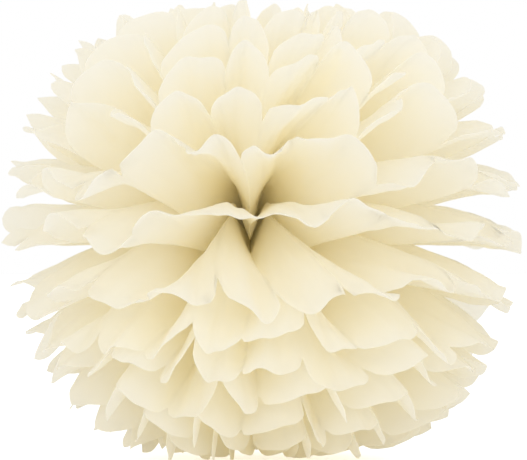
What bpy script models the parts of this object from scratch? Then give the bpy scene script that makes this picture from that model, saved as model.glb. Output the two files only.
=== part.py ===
"""A tissue paper pom pom: fourteen pleated sheets, tied round the middle and pulled apart.

The sheets are folded together into one strip of narrow pleats, a wire ties the strip
round its middle, both ends are cut round, and the sheets are then pulled apart, half of
them up and half of them down. The tie is the origin, and Z is the axis of the pom pom.
The strip runs along Y, so each sheet opens into a front fan and a back fan.
"""

import math
import random

import bmesh
import bpy
from mathutils import Vector

# The tissue, in metres: half the length of a fold, and the width of a pleat
PETAL_LENGTH = 0.175
PLEAT_WIDTH = 0.0417
PLEATS = 12
TISSUE = 0.0004
NOTCH_DEPTH = 0.022

# The tie, in metres
WIRE_DIAMETER = 0.0008
WIRE_CLEARANCE = 0.0003
TIED_PLEAT = 0.0006
TIED_LAYER = 0.0009
FAN_CLEARANCE = 0.0008
WIRE_CORNER = 0.0012
TWIST_GAP = 0.0016
TWIST_LENGTH = 0.007
TWIST_TURNS = 2
TWIST_STEPS = 12
TAIL_LENGTH = 0.004
TAIL_SPREAD = 0.0014

# The distance from the tie at which the crushed pleats end, and at which they have opened
CRUSHED_END = 0.036
OPENED = 0.108

# How high a crushed pleat may stand, as a share of its distance from the tie, how much of
# its sheet's rise takes from that, and how slowly the folds get free towards the tips
CRUSH = 0.46
CRUSH_TILT = 0.5
LOOSENING = 1.5

# How far the petals are pulled to one side of the tie, along X
ASIDE = 0.008

# How far the middle of a panel stands proud of its folds, and how far a tip curls
PANEL_CROWN = 0.003
TIP_CURL = 0.008

# Each sheet: the rise of its petals at the tie and at the tips, and the turn of its tips
# round the axis, all in degrees, then the share of the full length that it is trimmed to
SHEETS = {
    "sheet_up_1": (4, 2, 0.0, 1.00),
    "sheet_up_2": (16, 16, 0.0, 1.00),
    "sheet_up_3": (27, 26, 0.0, 1.00),
    "sheet_up_4": (37, 35, 0.0, 1.00),
    "sheet_up_5": (47, 44, 1.0, 0.99),
    "sheet_up_6": (57, 53, -1.0, 0.96),
    "sheet_up_7": (67, 63, 0.0, 0.885),
    "sheet_down_1": (-10, -14, 0.0, 1.00),
    "sheet_down_2": (-21.5, -24.5, 0.0, 1.00),
    "sheet_down_3": (-31.5, -32.5, 0.0, 1.00),
    "sheet_down_4": (-41.5, -40.5, 0.0, 1.00),
    "sheet_down_5": (-51, -49, -1.0, 0.99),
    "sheet_down_6": (-60.5, -57.5, 0.0, 0.96),
    "sheet_down_7": (-70, -67.5, 0.0, 0.885),
}

# How far the folds lean round and rise out of line, and how far the petals droop at the
# two sides, in degrees
LEAN = 6.5
LIFT = 3.2
SIDE_DROOP = 4.0

# How far the pleats are laid over towards +X where they stand steepest, in degrees
LAID_OVER = 3.0

# Front fans that were pulled fold by fold, from fold 1 on: the lean of each fold towards
# -X, and its lift, in degrees
PULLED = {
    "sheet_up_1": (
        (0, 0, 0, 0, -4, -2, 0, 1, 0, 0, 0),
        (0, -1, -3, -3, 1, 1, 1, 2, -1, -1, 0),
    ),
    "sheet_up_2": (
        (0, 0, 1, 4.5, 3.5, 5.5, 9, 2, 0, 0, 0),
        (-1, -5, -7, -2, 1, 1, 4.5, -4, 0, -3, -2),
    ),
    "sheet_up_3": (
        (0, 0, -2.5, -1.5, -1.5, -2, -2.5, 4, 7, 0, 0),
        (0, -2, 2, 1, -2, 4, 1, 0, 4, 1, 0),
    ),
    "sheet_up_4": (
        (0, 2, -3.5, -2.5, -5, -4, -4.5, -2, 0, 0, 0),
        (-1, 0, 1, -1.5, 0.5, 4.5, 3, 1, 2, 1, 0),
    ),
    "sheet_down_1": (
        (0, 0, 0, -3, -6.5, -6.5, -5.5, -5, -6, -2, 0),
        (0, 0, 0, 0, -1.5, -2, -1.5, 2, 4, 4, 2),
    ),
    "sheet_down_2": (
        (0, 0, 0, 1.5, 2.5, 5, 4.5, 5, 3.5, 0, 0),
        (0, 0, -1.5, -1.5, 0.5, 1, 0.5, 0, 0, 1, 0),
    ),
    "sheet_down_4": (
        (0, 0, 0, 0, -3.5, -1.5, -4.5, 0, 0, 0, 0),
        (0, 0, 1, 1, 1.5, 1.5, 1, 0, 0, 0, 0),
    ),
}

# How fast lean, lift and curl change from one sheet to the next, in radians
LEAN_CHANGE = 0.5
LIFT_CHANGE = 0.65
CURL_CHANGE = 0.5

# The free edges, where the two fans of a sheet meet: half the gap between them at the tie,
# how far each then passes the other, and how far the front one rises over it, in degrees
SEAM = 0.8
SEAM_LAP = 4.5
SEAM_LIFT = 1.2

# Share of a panel's width at the points of its round end
END_POINTS = (0.17, 0.5, 0.83)
ROUNDNESS = 2.0

IVORY = (0.86, 0.78, 0.58, 1.0)
STEEL = (0.55, 0.56, 0.58, 1.0)


def clear_scene():
    for thing in list(bpy.data.objects):
        bpy.data.objects.remove(thing, do_unlink=True)


def plain_material(name, colour, roughness, metallic):
    material = bpy.data.materials.new(name)
    material.use_nodes = True
    shader = material.node_tree.nodes["Principled BSDF"]
    shader.inputs["Base Color"].default_value = colour
    shader.inputs["Roughness"].default_value = roughness
    shader.inputs["Metallic"].default_value = metallic
    material.diffuse_color = colour
    return material


def fold_phases(seed):
    """One angle for each fold of the front and back fans, by which the folds differ."""
    chance = random.Random(seed)
    return {
        (side, fold): chance.uniform(0, 2 * math.pi)
        for side in (-1, 1)
        for fold in range(PLEATS + 1)
    }


LEAN_PHASES = fold_phases(3)
LIFT_PHASES = fold_phases(5)
CURL_PHASES = fold_phases(7)


class Sheet:
    """One pleated sheet: where each fold and each panel of its two fans runs."""

    def __init__(self, name, level, height):
        inner_rise, tip_rise, turn, self.reach = SHEETS[name]
        self.name = name
        self.level = level
        self.height = height
        self.inner_rise = math.radians(inner_rise)
        self.tip_rise = math.radians(tip_rise)
        self.turn = math.radians(turn)

    def rise(self, distance):
        share = min(distance / PETAL_LENGTH, 1.0) ** LOOSENING
        return self.inner_rise + (self.tip_rise - self.inner_rise) * share

    def pleat_height(self, distance, rise):
        """Half the height of the zigzag, at which each panel keeps its width."""
        step = (math.pi - 2 * math.radians(SEAM)) / PLEATS * distance * math.cos(rise)
        standing = math.sqrt(max(PLEAT_WIDTH**2 - step**2, 0.0)) / 2
        return min(standing, CRUSH * distance * math.cos(CRUSH_TILT * rise))

    def tied_point(self, side, fold):
        """The point of a fold where it comes out from under the wire."""
        across = (fold - PLEATS / 2) * TIED_PLEAT
        zigzag = TIED_PLEAT / 2 * (1 if fold % 2 else -1)
        return Vector((across, side * (WIRE_DIAMETER / 2 + FAN_CLEARANCE), self.height + zigzag))

    def pull(self, side, fold):
        """How far a fold leans towards -X and lifts at its tip, in degrees."""
        if side == -1 and self.name in PULLED:
            leans, lifts = PULLED[self.name]
            return leans[fold - 1], lifts[fold - 1]
        lean = LEAN * math.sin(LEAN_PHASES[side, fold] + LEAN_CHANGE * self.level)
        lift = LIFT * math.sin(LIFT_PHASES[side, fold] + LIFT_CHANGE * self.level)
        return lean, lift

    def fold_point(self, side, fold, along_fold):
        """A point of a fold by its distance from the tie, and the way that is up for it."""
        distance = along_fold * self.reach
        past_crushed = max(distance - CRUSHED_END, 0.0) / (PETAL_LENGTH - CRUSHED_END)
        free = past_crushed**LOOSENING
        seam = math.radians(SEAM)
        azimuth = math.pi - seam - fold * (math.pi - 2 * seam) / PLEATS
        rise = self.rise(distance)
        zigzag = self.pleat_height(distance, rise) * (1 if fold % 2 else -1)
        droop = SIDE_DROOP * math.cos(azimuth) ** 2 * math.cos(rise) ** 2
        rise -= math.radians(droop) * free
        azimuth += side * self.turn * free
        if 0 < fold < PLEATS:
            lean, lift = self.pull(side, fold)
            laid_over = LAID_OVER * (1 if fold % 2 else -1) * math.sin(rise) ** 2
            azimuth += math.radians(lean - laid_over) * free
            rise += math.radians(lift) * free
        else:
            azimuth += math.radians(SEAM_LAP) * free * (1 if fold == 0 else -1)
            rise -= side * math.radians(SEAM_LIFT) * past_crushed
        out = Vector((math.cos(azimuth), side * math.sin(azimuth), 0.0))
        upright = Vector((0, 0, 1))
        along = out * math.cos(rise) + upright * math.sin(rise)
        up = upright * math.cos(rise) - out * math.sin(rise)
        point = self.tied_point(side, fold) + along * distance + up * zigzag
        point.x += ASIDE * free
        return point, up

    def panel_point(self, side, panel, share, along_fold, crown):
        """A point of a panel, between its two folds and raised from the line across them."""
        first, up_first = self.fold_point(side, panel, along_fold)
        last, up_last = self.fold_point(side, panel + 1, along_fold)
        up = up_first.lerp(up_last, share).normalized()
        return first.lerp(last, share) + up * crown * 4 * share * (1 - share), up

    def end_point(self, side, panel, share):
        """A point of the round end of a panel."""
        round_share = (1 - abs(2 * share - 1) ** ROUNDNESS) ** (1 / ROUNDNESS)
        along_fold = PETAL_LENGTH - NOTCH_DEPTH * (1 - round_share)
        curl = TIP_CURL * math.sin(CURL_PHASES[side, panel] + CURL_CHANGE * self.level)
        return self.panel_point(side, panel, share, along_fold, PANEL_CROWN + curl)


def add_point(mesh, ups, point_and_up):
    point, up = point_and_up
    vert = mesh.verts.new(point)
    ups.append(up)
    return vert


def add_fan(mesh, ups, sheet, side, tied):
    """Adds one fan of a sheet, from its tied folds out to the round ends of its petals."""
    rows = []
    for along_fold in (CRUSHED_END, OPENED, PETAL_LENGTH - NOTCH_DEPTH):
        folds = range(PLEATS + 1)
        rows.append([add_point(mesh, ups, sheet.fold_point(side, f, along_fold)) for f in folds])
    crushed, opened, notches = rows
    for panel in range(PLEATS):
        nearer, farther = panel, panel + 1
        middle = sheet.panel_point(side, panel, 0.5, OPENED, PANEL_CROWN)
        centre = add_point(mesh, ups, middle)
        ends = [add_point(mesh, ups, sheet.end_point(side, panel, s)) for s in END_POINTS]
        rim = [notches[nearer], *ends, notches[farther]]
        mesh.faces.new((tied[nearer], tied[farther], crushed[farther]))
        mesh.faces.new((tied[nearer], crushed[farther], crushed[nearer]))
        mesh.faces.new((crushed[nearer], crushed[farther], centre))
        around = [crushed[nearer], opened[nearer], *rim, opened[farther], crushed[farther]]
        for first, last in zip(around, around[1:]):
            mesh.faces.new((centre, last, first))


def thicken(mesh, ups):
    """Raises a copy of the surface by the tissue's thickness and walls in the edge."""
    number = mesh.verts.layers.int.new("number")
    for index, vert in enumerate(mesh.verts):
        vert[number] = index
    raised = bmesh.ops.extrude_face_region(mesh, geom=list(mesh.faces), use_keep_orig=True)
    for item in raised["geom"]:
        if isinstance(item, bmesh.types.BMVert):
            item.co += ups[item[number]] * TISSUE
    bmesh.ops.recalc_face_normals(mesh, faces=list(mesh.faces))


def sheet_object(sheet, material):
    """The whole sheet as one closed solid of the tissue's thickness."""
    mesh = bmesh.new()
    ups = []
    tied = {}
    for side in (-1, 1):
        points = [(sheet.tied_point(side, fold), Vector((0, 0, 1))) for fold in range(PLEATS + 1)]
        tied[side] = [add_point(mesh, ups, point) for point in points]
        add_fan(mesh, ups, sheet, side, tied[side])
    for panel in range(PLEATS):
        front, back = tied[-1], tied[1]
        mesh.faces.new((front[panel], front[panel + 1], back[panel + 1]))
        mesh.faces.new((front[panel], back[panel + 1], back[panel]))
    thicken(mesh, ups)
    data = bpy.data.meshes.new(sheet.name)
    mesh.to_mesh(data)
    mesh.free()
    data.materials.append(material)
    piece = bpy.data.objects.new(sheet.name, data)
    bpy.context.scene.collection.objects.link(piece)
    return piece


def wire_route(half_width, half_height):
    """Points of the tie wire: one tail, its twist, once round the bundle, and back."""
    strand = (WIRE_DIAMETER + WIRE_CLEARANCE) / 2
    twist_start = half_width + TWIST_GAP
    twist = []
    for step in range(TWIST_STEPS + 1):
        angle = 2 * math.pi * TWIST_TURNS * step / TWIST_STEPS
        along = twist_start + TWIST_LENGTH * (1 - step / TWIST_STEPS)
        twist.append(Vector((along, strand * math.sin(angle), strand * math.cos(angle))))
    twist_back = [Vector((point.x, -point.y, -point.z)) for point in reversed(twist)]
    tail_end = twist_start + TWIST_LENGTH + TAIL_LENGTH
    tail = Vector((tail_end, 0, TAIL_SPREAD))
    tail_back = Vector((tail_end, 0, -TAIL_SPREAD))
    loop = []
    for quarter, (x_side, z_side) in enumerate(((1, 1), (-1, 1), (-1, -1), (1, -1))):
        middle_x = x_side * (half_width - WIRE_CORNER)
        middle_z = z_side * (half_height - WIRE_CORNER)
        for step in range(3):
            angle = math.radians(90 * quarter + 45 * step)
            x = middle_x + WIRE_CORNER * math.cos(angle)
            loop.append(Vector((x, 0, middle_z + WIRE_CORNER * math.sin(angle))))
    return [tail, *twist, *loop, *twist_back, tail_back]


def wire_object(layers, material):
    """The wire that ties the bundle, its ends twisted together and trimmed."""
    around = WIRE_CLEARANCE + WIRE_DIAMETER / 2
    half_width = PLEATS / 2 * TIED_PLEAT + around
    half_height = (layers - 1) / 2 * TIED_LAYER + TIED_PLEAT / 2 + TISSUE + around
    curve = bpy.data.curves.new("wire_tie", "CURVE")
    curve.dimensions = "3D"
    curve.bevel_depth = WIRE_DIAMETER / 2
    curve.bevel_resolution = 1
    curve.use_fill_caps = True
    points = wire_route(half_width, half_height)
    line = curve.splines.new("POLY")
    line.points.add(len(points) - 1)
    for spot, point in zip(line.points, points):
        spot.co = (*point, 1.0)
    curve.materials.append(material)
    wire = bpy.data.objects.new("wire_tie", curve)
    bpy.context.scene.collection.objects.link(wire)
    return wire


def main():
    clear_scene()
    tissue = plain_material("ivory_tissue", IVORY, 0.9, 0.0)
    steel = plain_material("steel_wire", STEEL, 0.4, 1.0)
    bottom_to_top = sorted(SHEETS, key=lambda name: SHEETS[name][1])
    for level, name in enumerate(bottom_to_top):
        height = (level - (len(bottom_to_top) - 1) / 2) * TIED_LAYER
        sheet_object(Sheet(name, level, height), tissue)
    wire_object(len(bottom_to_top), steel)


main()
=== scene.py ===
"""Dresses the tissue paper pom pom: fourteen pleated sheets of ivory tissue, tied with wire.

Each sheet starts flat, as it is cut. It is folded into pleats, tied at its middle, and
its petals are pulled up or down, by the same sizes as the solid that it stands for.
"""

import math
import random

import bpy
import numpy as np
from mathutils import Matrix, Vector


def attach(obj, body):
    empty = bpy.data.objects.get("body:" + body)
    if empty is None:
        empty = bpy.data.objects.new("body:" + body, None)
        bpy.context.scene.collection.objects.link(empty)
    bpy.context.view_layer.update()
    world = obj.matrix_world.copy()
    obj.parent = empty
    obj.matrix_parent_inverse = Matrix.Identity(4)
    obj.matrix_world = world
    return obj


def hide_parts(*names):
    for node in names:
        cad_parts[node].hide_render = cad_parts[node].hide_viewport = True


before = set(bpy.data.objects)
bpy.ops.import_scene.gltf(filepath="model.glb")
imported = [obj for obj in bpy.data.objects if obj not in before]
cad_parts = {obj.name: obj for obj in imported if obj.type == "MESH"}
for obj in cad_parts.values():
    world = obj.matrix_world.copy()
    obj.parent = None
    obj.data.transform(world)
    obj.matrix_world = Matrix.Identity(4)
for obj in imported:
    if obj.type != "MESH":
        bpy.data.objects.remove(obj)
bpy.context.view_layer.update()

# The tissue, in metres: half the length of a fold, and the width of a pleat
PETAL_LENGTH = 0.175
PLEAT_WIDTH = 0.0417
PLEATS = 12
NOTCH_DEPTH = 0.022

# The tie, in metres
WIRE_DIAMETER = 0.0008
TIED_PLEAT = 0.0006
TIED_LAYER = 0.0009
FAN_CLEARANCE = 0.0008

# The distance from the tie at which the crushed pleats end, and at which they have opened
CRUSHED_END = 0.036
OPENED = 0.108

# How high a crushed pleat may stand, as a share of its distance from the tie, how much of
# its sheet's rise takes from that, and how slowly the folds get free towards the tips
CRUSH = 0.46
CRUSH_TILT = 0.5
LOOSENING = 1.5

# How far the petals are pulled to one side of the tie, along X
ASIDE = 0.008

# How far the middle of a panel stands proud of its folds, how far a tip curls, and how
# full its round end is
PANEL_CROWN = 0.003
TIP_CURL = 0.008
ROUNDNESS = 2.0

# Each sheet: the rise of its petals at the tie and at the tips, and the turn of its tips
# round the axis, all in degrees, then the share of the full length that it is trimmed to
SHEETS = {
    "sheet_up_1": (4, 2, 0.0, 1.00),
    "sheet_up_2": (16, 16, 0.0, 1.00),
    "sheet_up_3": (27, 26, 0.0, 1.00),
    "sheet_up_4": (37, 35, 0.0, 1.00),
    "sheet_up_5": (47, 44, 1.0, 0.99),
    "sheet_up_6": (57, 53, -1.0, 0.96),
    "sheet_up_7": (67, 63, 0.0, 0.885),
    "sheet_down_1": (-10, -14, 0.0, 1.00),
    "sheet_down_2": (-21.5, -24.5, 0.0, 1.00),
    "sheet_down_3": (-31.5, -32.5, 0.0, 1.00),
    "sheet_down_4": (-41.5, -40.5, 0.0, 1.00),
    "sheet_down_5": (-51, -49, -1.0, 0.99),
    "sheet_down_6": (-60.5, -57.5, 0.0, 0.96),
    "sheet_down_7": (-70, -67.5, 0.0, 0.885),
}

# How far the folds lean round and rise out of line, and how far the petals droop at the
# two sides, in degrees
LEAN = 6.5
LIFT = 3.2
SIDE_DROOP = 4.0

# How far the pleats are laid over towards +X where they stand steepest, in degrees
LAID_OVER = 3.0

# Front fans that were pulled fold by fold, from fold 1 on: the lean of each fold towards
# -X, and its lift, in degrees
PULLED = {
    "sheet_up_1": (
        (0, 0, 0, 0, -4, -2, 0, 1, 0, 0, 0),
        (0, -1, -3, -3, 1, 1, 1, 2, -1, -1, 0),
    ),
    "sheet_up_2": (
        (0, 0, 1, 4.5, 3.5, 5.5, 9, 2, 0, 0, 0),
        (-1, -5, -7, -2, 1, 1, 4.5, -4, 0, -3, -2),
    ),
    "sheet_up_3": (
        (0, 0, -2.5, -1.5, -1.5, -2, -2.5, 4, 7, 0, 0),
        (0, -2, 2, 1, -2, 4, 1, 0, 4, 1, 0),
    ),
    "sheet_up_4": (
        (0, 2, -3.5, -2.5, -5, -4, -4.5, -2, 0, 0, 0),
        (-1, 0, 1, -1.5, 0.5, 4.5, 3, 1, 2, 1, 0),
    ),
    "sheet_down_1": (
        (0, 0, 0, -3, -6.5, -6.5, -5.5, -5, -6, -2, 0),
        (0, 0, 0, 0, -1.5, -2, -1.5, 2, 4, 4, 2),
    ),
    "sheet_down_2": (
        (0, 0, 0, 1.5, 2.5, 5, 4.5, 5, 3.5, 0, 0),
        (0, 0, -1.5, -1.5, 0.5, 1, 0.5, 0, 0, 1, 0),
    ),
    "sheet_down_4": (
        (0, 0, 0, 0, -3.5, -1.5, -4.5, 0, 0, 0, 0),
        (0, 0, 1, 1, 1.5, 1.5, 1, 0, 0, 0, 0),
    ),
}

# How fast lean, lift, curl, sway and notches change from one sheet to the next, in radians
LEAN_CHANGE = 0.5
LIFT_CHANGE = 0.65
CURL_CHANGE = 0.5
SWAY_CHANGE = 1.7
NOTCH_CHANGE = 2.3

# The free edges, where the two fans of a sheet meet: half the gap between them at the tie,
# how far each then passes the other, and how far the front one rises over it, in degrees
SEAM = 0.8
SEAM_LAP = 4.5
SEAM_LIFT = 1.2

# How far that meeting place is shifted in every other sheet, in degrees, then the cosine
# of the rise at which the shift starts, and how much more of it makes the shift full
SEAM_SHIFT = 1.6
SHIFTED_FROM = 0.85
SHIFTED_OVER = 0.13

# Pleats at the middle of the front fans that are pulled flatter: the share of their height
# that each keeps, by fold. It starts at half the length of the crushed pleats.
FLATTENED = {
    "sheet_up_1": {5: 0.7, 6: 0.0, 7: 0.7},
    "sheet_up_2": {5: 0.9, 6: 0.2, 7: 0.9},
    "sheet_up_3": {6: 0.55},
    "sheet_up_4": {6: 0.8},
    "sheet_down_1": {6: 0.3},
    "sheet_down_2": {6: 0.7},
    "sheet_down_3": {6: 0.9},
}
FLATTENED_FROM = 0.5

# Notches at the front that are cut shallower than the rest, by fold, as a share of the usual
SHALLOW_NOTCHES = {
    "sheet_up_1": {4: 0.5, 5: 0.2, 6: 0.2, 7: 0.3, 8: 0.6},
}

# The paper's thickness in metres, and how finely a panel is divided across and along
PAPER = 0.0002
COLUMNS = 16
ROWS = 36

# The share of a panel that rounds off beside each fold, where crushed and where opened
CREASE_TIGHT = 0.05
CREASE_SOFT = 0.2

# How unevenly the notches and the round ends are cut, and the share of a petal's length
# from which its rows of points follow the cut
NOTCH_RANGE = 0.3
ROUNDNESS_RANGE = 0.15
CUT_FROM = 0.5

# How much more the tips curl and how far they sway, in metres, and how fast both fade as
# the sheets get steeper and lie closer
EXTRA_CURL = 0.003
EDGE_SWAY = 0.0070
STEEP_FADE = 4

# The thin petals at the -X side: how much deeper their notches and how much more pointed
# their ends are, how far to that side they start, and how much farther they are thin
SLENDER_NOTCH = 0.8
SLENDER_POINT = 0.35
SLENDER_FROM = 0.8
SLENDER_OVER = 0.15

# The fine lines along a petal: their number, their depth, the distance from the tie at
# which they start, and the length over which they grow
FINE_PLEATS = 2.5
FINE_PLEAT_DEPTH = 0.0009
FINE_PLEATS_FROM = 0.075
FINE_PLEATS_OVER = 0.03

# The crinkles of the loose paper, in metres, and the share of a petal's length from which
# the paper gets loose
CRINKLE = 0.0036
CRINKLE_SIZE = 0.030
LOOSE_FROM = 0.35

# The sharpest bend that is still shaded smooth, in degrees
SMOOTH_BEND = 60

# The deeper and the paler tint of the paper, for light that it throws back and for light
# that it lets through, and the share that it lets through
FACE_TINTS = (0.998, 0.987, 0.942, 1.0), (0.999, 0.992, 0.963, 1.0)
THROUGH_TINTS = (0.998, 0.987, 0.940, 1.0), (0.999, 0.991, 0.960, 1.0)
LET_THROUGH = 0.85

# How often light may scatter between the sheets
SCATTERS = 68

# Each lamp: its place and its size in metres, and its power in watts
LAMPS = {
    "key_light": ((-0.5, -2.2, 0.8), 0.9, 7.8),
    "fill_light": ((1.2, -1.9, 0.2), 1.2, 3.5),
}

# How strongly the white surround lights the paper, and the floor's height and glow
SURROUND_LIGHT = 0.92
FLOOR_HEIGHT = -0.156
FLOOR_GLOW = 0.55

# The camera's place in metres, and its lens in millimetres
CAMERA_PLACE = (0.009, -2.2, 0.0)
LENS = 222.0


def fold_phases(seed):
    """One angle for each fold of the front and back fans, by which the folds differ."""
    chance = random.Random(seed)
    return {
        (side, fold): chance.uniform(0, 2 * math.pi)
        for side in (-1, 1)
        for fold in range(PLEATS + 1)
    }


LEAN_PHASES = fold_phases(3)
LIFT_PHASES = fold_phases(5)
CURL_PHASES = fold_phases(7)
SWAY_PHASES = fold_phases(11)


def unit(arrows):
    """The same arrows, each of length 1."""
    return arrows / np.linalg.norm(arrows, axis=-1, keepdims=True)


def eased(share):
    """A share from 0 to 1 that starts and ends softly."""
    share = np.clip(share, 0.0, 1.0)
    return share * share * (3 - 2 * share)


class Sheet:
    """Where every point of one flat sheet goes when it is pleated, tied and pulled."""

    def __init__(self, name, level, height):
        inner_rise, tip_rise, turn, self.reach = SHEETS[name]
        self.name = name
        self.level = level
        self.height = height
        self.inner_rise = math.radians(inner_rise)
        self.tip_rise = math.radians(tip_rise)
        self.turn = math.radians(turn)

    def rise(self, distance):
        """How steeply the sheet rises, by distance from the tie."""
        share = np.minimum(distance / PETAL_LENGTH, 1.0) ** LOOSENING
        return self.inner_rise + (self.tip_rise - self.inner_rise) * share

    def pleat_height(self, distance, rise):
        """Half the height of the zigzag, at which each panel keeps its width."""
        step = (math.pi - 2 * math.radians(SEAM)) / PLEATS * distance * np.cos(rise)
        standing = np.sqrt(np.maximum(PLEAT_WIDTH**2 - step**2, 0.0)) / 2
        crushed = CRUSH * distance * np.cos(CRUSH_TILT * rise)
        return np.minimum(standing, crushed * np.sqrt(np.minimum(distance / CRUSHED_END, 1.0)))

    def pull(self, side, fold):
        """How far a fold leans towards -X and lifts at its tip, in degrees."""
        if side == -1 and self.name in PULLED:
            leans, lifts = PULLED[self.name]
            return leans[fold - 1], lifts[fold - 1]
        lean = LEAN * math.sin(LEAN_PHASES[side, fold] + LEAN_CHANGE * self.level)
        lift = LIFT * math.sin(LIFT_PHASES[side, fold] + LIFT_CHANGE * self.level)
        return lean, lift

    def fold_places(self, side, fold, along_fold):
        """Points of a fold by their distance from the tie, what is up there, and the zigzag."""
        distance = along_fold * self.reach
        past_crushed = np.maximum(distance - CRUSHED_END, 0.0) / (PETAL_LENGTH - CRUSHED_END)
        free = past_crushed**LOOSENING
        seam = math.radians(SEAM)
        azimuth = math.pi - seam - fold * (math.pi - 2 * seam) / PLEATS
        rise = self.rise(distance)
        parity = 1 if fold % 2 else -1
        zigzag = self.pleat_height(distance, rise) * parity
        if side == -1:
            kept = FLATTENED.get(self.name, {}).get(fold, 1.0)
            zigzag *= 1 - (1 - kept) * eased(distance / CRUSHED_END - FLATTENED_FROM)
        droop = math.radians(SIDE_DROOP) * math.cos(azimuth) ** 2 * np.cos(rise) ** 2
        rise = rise - droop * free
        azimuth = azimuth + side * self.turn * free
        if 0 < fold < PLEATS:
            lean, lift = self.pull(side, fold)
            laid_over = LAID_OVER * parity * np.sin(rise) ** 2
            azimuth = azimuth + np.radians(lean - laid_over) * free
            rise = rise + math.radians(lift) * free
        else:
            azimuth = azimuth + math.radians(SEAM_LAP) * free * (1 if fold == 0 else -1)
            shift = SEAM_SHIFT * eased((np.cos(rise) - SHIFTED_FROM) / SHIFTED_OVER)
            azimuth = azimuth + side * np.radians(shift) * (1 if self.level % 2 else -1)
            rise = rise - side * math.radians(SEAM_LIFT) * past_crushed
        out = np.stack([np.cos(azimuth), side * np.sin(azimuth), np.zeros_like(azimuth)], -1)
        upright = np.array([0.0, 0.0, 1.0])
        cos_rise, sin_rise = np.cos(rise)[..., None], np.sin(rise)[..., None]
        along = out * cos_rise + upright * sin_rise
        up = upright * cos_rise - out * sin_rise
        across = (fold - PLEATS / 2) * TIED_PLEAT
        tied_half = WIRE_DIAMETER / 2 + FAN_CLEARANCE
        places = along * distance[..., None] + up * zigzag[..., None]
        places += [across, 0.0, self.height + TIED_PLEAT / 2 * parity]
        places[..., 1] += side * tied_half * eased(distance / tied_half)
        places[..., 0] += ASIDE * free
        return places, up, zigzag

    def petal_places(self, side, panel, shares, rows):
        """Points of one panel of a fan, by share across it and share of its length."""
        share, row = np.meshgrid(shares, rows)
        phase = SWAY_PHASES[side, panel] + SWAY_CHANGE * self.level
        roundness = ROUNDNESS * (1 + ROUNDNESS_RANGE * math.sin(2 * phase))
        roundness *= 1 - SLENDER_POINT * self.slender(panel + 0.5)
        round_share = (1 - np.abs(2 * share - 1) ** roundness) ** (1 / roundness)
        notch = np.where(share < 0.5, self.notch(side, panel), self.notch(side, panel + 1))
        cut = notch * (1 - round_share) * eased((row - CUT_FROM) / (1 - CUT_FROM))
        along_fold = row * PETAL_LENGTH - cut
        first, up_first, zigzag_first = self.fold_places(side, panel, along_fold)
        last, up_last, zigzag_last = self.fold_places(side, panel + 1, along_fold)
        up = unit(up_first + (up_last - up_first) * share[..., None])
        opened = eased((along_fold - CRUSHED_END) / (OPENED - CRUSHED_END))
        tip = eased((along_fold - OPENED) / (PETAL_LENGTH - OPENED))
        room = math.cos(self.tip_rise) ** STEEP_FADE
        curled = math.sin(CURL_PHASES[side, panel] + CURL_CHANGE * self.level)
        curl = (TIP_CURL + EXTRA_CURL * room) * curled
        raised = (PANEL_CROWN * opened + curl * tip) * 4 * share * (1 - share)
        raised -= self.crease(share, zigzag_first, opened)
        raised -= self.crease(1 - share, zigzag_last, opened)
        raised += EDGE_SWAY * room * math.sin(phase) * tip * np.sin(2 * math.pi * share)
        lines = np.sin(2 * math.pi * FINE_PLEATS * share + phase) * np.sin(math.pi * share)
        grown = eased((along_fold - FINE_PLEATS_FROM) / FINE_PLEATS_OVER)
        raised += FINE_PLEAT_DEPTH * grown * lines
        return first + (last - first) * share[..., None] + up * raised[..., None]

    def slender(self, fold):
        """How far a petal belongs to the thin, pointed ones at the -X side, from 0 to 1."""
        to_that_side = -math.cos(math.pi * (1 - fold / PLEATS))
        return float(eased((to_that_side - SLENDER_FROM) / SLENDER_OVER))

    def notch(self, side, fold):
        """How deep the notch at the end of a fold is."""
        uneven = NOTCH_RANGE * math.sin(LIFT_PHASES[side, fold] + NOTCH_CHANGE * self.level)
        depth = NOTCH_DEPTH * (1 + uneven) * (1 + SLENDER_NOTCH * self.slender(fold))
        if side == -1:
            depth *= SHALLOW_NOTCHES.get(self.name, {}).get(fold, 1.0)
        return depth

    def crease(self, share, zigzag, opened):
        """How far the paper rounds off below a fold, by share of the panel from the fold."""
        width = CREASE_TIGHT + (CREASE_SOFT - CREASE_TIGHT) * opened
        return zigzag * width * np.clip(1 - share / width, 0.0, 1.0) ** 2


def deselect_everything():
    bpy.ops.object.select_all(action="DESELECT")


def select_only(piece):
    deselect_everything()
    piece.select_set(True)
    bpy.context.view_layer.objects.active = piece


def flat_tissue(name):
    """A flat sheet of tissue, with X across its pleats and Y along its folds."""
    deselect_everything()
    bpy.ops.mesh.primitive_grid_add(
        x_subdivisions=PLEATS * COLUMNS,
        y_subdivisions=2 * ROWS,
        size=1.0,
        calc_uvs=True,
    )
    piece = bpy.context.object
    piece.name = name
    piece.data.name = name
    return piece


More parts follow.
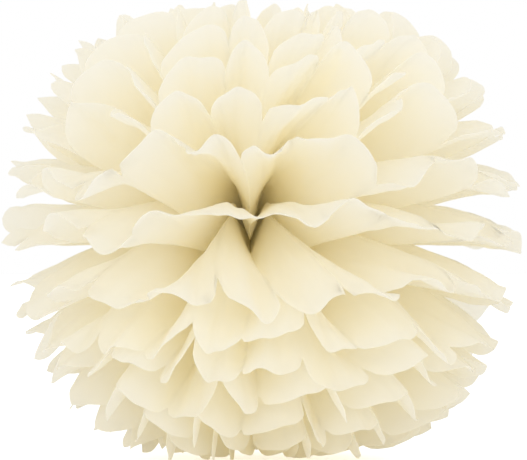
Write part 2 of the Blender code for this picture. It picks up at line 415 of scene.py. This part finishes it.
def fold_tissue(piece, sheet):
    """Moves each point of the flat sheet to its place in the tied and opened sheet."""
    points = np.empty(len(piece.data.vertices) * 3, np.float32)
    piece.data.vertices.foreach_get("co", points)
    points = points.reshape(-1, 3)
    column = np.rint((points[:, 0] + 0.5) * PLEATS * COLUMNS).astype(int)
    row = np.rint((points[:, 1] + 0.5) * 2 * ROWS).astype(int)
    places = np.zeros((PLEATS * COLUMNS + 1, 2 * ROWS + 1, 3))
    shares = np.linspace(0.0, 1.0, COLUMNS + 1)
    rows = np.linspace(0.0, 1.0, ROWS + 1)
    for panel in range(PLEATS):
        columns = slice(panel * COLUMNS, (panel + 1) * COLUMNS + 1)
        front = sheet.petal_places(-1, panel, shares, rows).transpose(1, 0, 2)
        back = sheet.petal_places(1, panel, shares, rows).transpose(1, 0, 2)
        places[columns, : ROWS + 1] = front[:, ::-1]
        places[columns, ROWS:] = back
    points[:] = places[column, row]
    piece.data.vertices.foreach_set("co", points.ravel())
    piece.data.update()
    loose = piece.vertex_groups.new(name="loose")
    looseness = eased((np.abs(row - ROWS) / ROWS - LOOSE_FROM) / (1 - LOOSE_FROM))
    for index, weight in enumerate(looseness):
        if weight > 0:
            loose.add([index], float(weight), "REPLACE")


def crinkle_and_thicken(piece):
    """Gives the loose paper soft crinkles, then a paper's thickness."""
    select_only(piece)
    crinkles = bpy.data.textures.new(piece.name + "_crinkles", "CLOUDS")
    crinkles.noise_scale = CRINKLE_SIZE
    crinkles.noise_depth = 2
    displace = piece.modifiers.new("crinkles", "DISPLACE")
    displace.texture = crinkles
    displace.texture_coords = "LOCAL"
    displace.vertex_group = "loose"
    displace.strength = CRINKLE
    displace.mid_level = 0.5
    bpy.ops.object.modifier_apply(modifier=displace.name)
    solidify = piece.modifiers.new("paper", "SOLIDIFY")
    solidify.thickness = PAPER
    solidify.offset = 1.0
    bpy.ops.object.modifier_apply(modifier=solidify.name)
    bpy.ops.object.shade_smooth_by_angle(angle=math.radians(SMOOTH_BEND))


def nodes_of(material):
    """The nodes and links of a material or a surround, with nothing in them yet."""
    material.use_nodes = True
    tree = material.node_tree
    tree.nodes.clear()
    return tree.nodes, tree.links


def mottling(nodes, links, scale, detail):
    """A soft, cloudy pattern that is fixed to the piece."""
    place = nodes.new("ShaderNodeTexCoord")
    clouds = nodes.new("ShaderNodeTexNoise")
    clouds.inputs["Scale"].default_value = scale
    clouds.inputs["Detail"].default_value = detail
    links.new(place.outputs["Object"], clouds.inputs["Vector"])
    return clouds.outputs["Fac"]


def tint_between(nodes, links, tints, pattern):
    """A tint that goes from the deeper to the paler one by a pattern."""
    tint = nodes.new("ShaderNodeMix")
    tint.data_type = "RGBA"
    tint.inputs["A"].default_value = tints[0]
    tint.inputs["B"].default_value = tints[1]
    links.new(pattern, tint.inputs["Factor"])
    return tint.outputs["Result"]


def raised_by(nodes, links, pattern, strength, depth):
    """The small ups and downs of a surface, by a pattern."""
    bump = nodes.new("ShaderNodeBump")
    bump.inputs["Strength"].default_value = strength
    bump.inputs["Distance"].default_value = depth
    links.new(pattern, bump.inputs["Height"])
    return bump.outputs["Normal"]


def tissue_paper():
    """Thin ivory tissue: matt, faintly fibrous, and lit through by what is behind it."""
    material = bpy.data.materials.new("ivory_tissue_paper")
    nodes, links = nodes_of(material)
    out = nodes.new("ShaderNodeOutputMaterial")
    mix = nodes.new("ShaderNodeMixShader")
    face = nodes.new("ShaderNodeBsdfPrincipled")
    through = nodes.new("ShaderNodeBsdfTranslucent")
    fibre = mottling(nodes, links, scale=700.0, detail=3.0)
    cloud = mottling(nodes, links, scale=60.0, detail=4.0)
    links.new(tint_between(nodes, links, FACE_TINTS, cloud), face.inputs["Base Color"])
    links.new(tint_between(nodes, links, THROUGH_TINTS, fibre), through.inputs["Color"])
    links.new(raised_by(nodes, links, cloud, 0.35, 0.0006), face.inputs["Normal"])
    face.inputs["Roughness"].default_value = 0.8
    face.inputs["Specular IOR Level"].default_value = 0.0
    mix.inputs["Fac"].default_value = LET_THROUGH
    links.new(face.outputs["BSDF"], mix.inputs[1])
    links.new(through.outputs["BSDF"], mix.inputs[2])
    links.new(mix.outputs["Shader"], out.inputs["Surface"])
    return material


def binding_wire():
    """Plain drawn steel wire with a dull, uneven bloom."""
    material = bpy.data.materials.new("plain_binding_wire")
    nodes, links = nodes_of(material)
    out = nodes.new("ShaderNodeOutputMaterial")
    metal = nodes.new("ShaderNodeBsdfPrincipled")
    metal.inputs["Base Color"].default_value = (0.56, 0.56, 0.58, 1.0)
    metal.inputs["Metallic"].default_value = 1.0
    bloom = mottling(nodes, links, scale=900.0, detail=3.0)
    dullness = nodes.new("ShaderNodeMapRange")
    dullness.inputs["To Min"].default_value = 0.28
    dullness.inputs["To Max"].default_value = 0.5
    links.new(bloom, dullness.inputs["Value"])
    links.new(dullness.outputs["Result"], metal.inputs["Roughness"])
    links.new(raised_by(nodes, links, bloom, 0.2, 0.00005), metal.inputs["Normal"])
    links.new(metal.outputs["BSDF"], out.inputs["Surface"])
    return material


def dress_sheets(paper):
    """Puts a finished sheet of tissue in the place of each solid sheet."""
    bottom_to_top = sorted(SHEETS, key=lambda name: SHEETS[name][1])
    for level, name in enumerate(bottom_to_top):
        height = (level - (len(bottom_to_top) - 1) / 2) * TIED_LAYER
        piece = flat_tissue(name.replace("sheet", "tissue"))
        fold_tissue(piece, Sheet(name, level, height))
        crinkle_and_thicken(piece)
        piece.data.materials.append(paper)
        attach(piece, "root")
        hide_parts(name)


def dress_wire(metal):
    """Gives the solid wire its steel."""
    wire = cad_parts["wire_tie"]
    wire.data.materials.clear()
    wire.data.materials.append(metal)


def lamp(name, place, size, power):
    """A round lamp that faces the tie."""
    light = bpy.data.lights.new(name, "AREA")
    light.shape = "DISK"
    light.size = size
    light.energy = power
    piece = bpy.data.objects.new(name, light)
    bpy.context.scene.collection.objects.link(piece)
    piece.location = place
    piece.rotation_euler = (-Vector(place)).to_track_quat("-Z", "Y").to_euler()


def combined(nodes, links, operation, first, second):
    """Two values put together by one operation, and kept from 0 to 1."""
    node = nodes.new("ShaderNodeMath")
    node.operation = operation
    node.use_clamp = True
    links.new(first, node.inputs[0])
    links.new(second, node.inputs[1])
    return node.outputs["Value"]


def seen_directly(nodes, links):
    """1 for a ray from the camera, or by way of gloss or glass, and 0 for plain light.

    Light that goes through the paper is plain light too.
    """
    ray = nodes.new("ShaderNodeLightPath").outputs
    seen = combined(nodes, links, "MAXIMUM", ray["Is Camera Ray"], ray["Is Glossy Ray"])
    seen = combined(nodes, links, "MAXIMUM", seen, ray["Is Transmission Ray"])
    return combined(nodes, links, "SUBTRACT", seen, ray["Is Diffuse Ray"])


def white_surround(ambient):
    """A surround that looks white, and lights the paper by a share of that."""
    world = bpy.data.worlds.new("white_surround")
    bpy.context.scene.world = world
    nodes, links = nodes_of(world)
    out = nodes.new("ShaderNodeOutputWorld")
    background = nodes.new("ShaderNodeBackground")
    background.inputs["Color"].default_value = (1.0, 1.0, 1.0, 1.0)
    strength = nodes.new("ShaderNodeMapRange")
    strength.inputs["To Min"].default_value = ambient
    strength.inputs["To Max"].default_value = 1.0
    links.new(seen_directly(nodes, links), strength.inputs["Value"])
    links.new(strength.outputs["Result"], background.inputs["Strength"])
    links.new(background.outputs["Background"], out.inputs["Surface"])


def studio_floor(height):
    """A white floor that glows only where it is seen, so that it passes into the surround."""
    deselect_everything()
    bpy.ops.mesh.primitive_circle_add(
        vertices=96, radius=9.0, fill_type="NGON", location=(0.0, 0.0, height)
    )
    floor = bpy.context.object
    floor.name = "studio_floor"
    material = bpy.data.materials.new("white_floor")
    nodes, links = nodes_of(material)
    out = nodes.new("ShaderNodeOutputMaterial")
    add = nodes.new("ShaderNodeAddShader")
    paint = nodes.new("ShaderNodeBsdfDiffuse")
    paint.inputs["Color"].default_value = (0.9, 0.9, 0.9, 1.0)
    glow = nodes.new("ShaderNodeEmission")
    strength = nodes.new("ShaderNodeMath")
    strength.operation = "MULTIPLY"
    strength.inputs[1].default_value = FLOOR_GLOW
    links.new(seen_directly(nodes, links), strength.inputs[0])
    links.new(strength.outputs["Value"], glow.inputs["Strength"])
    links.new(paint.outputs["BSDF"], add.inputs[0])
    links.new(glow.outputs["Emission"], add.inputs[1])
    links.new(add.outputs["Shader"], out.inputs["Surface"])
    floor.data.materials.append(material)


def camera_at_the_front():
    """A long lens, level with the tie."""
    camera = bpy.data.cameras.new("camera")
    camera.lens = LENS
    camera.sensor_width = 36.0
    camera.dof.use_dof = False
    piece = bpy.data.objects.new("camera", camera)
    bpy.context.scene.collection.objects.link(piece)
    piece.location = CAMERA_PLACE
    piece.rotation_euler = (math.radians(90), 0.0, 0.0)
    bpy.context.scene.camera = piece


dress_sheets(tissue_paper())
dress_wire(binding_wire())

bpy.context.scene.view_settings.view_transform = "Standard"
bpy.context.scene.cycles.max_bounces = SCATTERS
bpy.context.scene.cycles.diffuse_bounces = SCATTERS
bpy.context.scene.cycles.transmission_bounces = SCATTERS
bpy.context.scene.cycles.use_light_tree = False
white_surround(SURROUND_LIGHT)
for lamp_name, (lamp_place, lamp_size, lamp_power) in LAMPS.items():
    lamp(lamp_name, lamp_place, lamp_size, lamp_power)
studio_floor(FLOOR_HEIGHT)
camera_at_the_front()
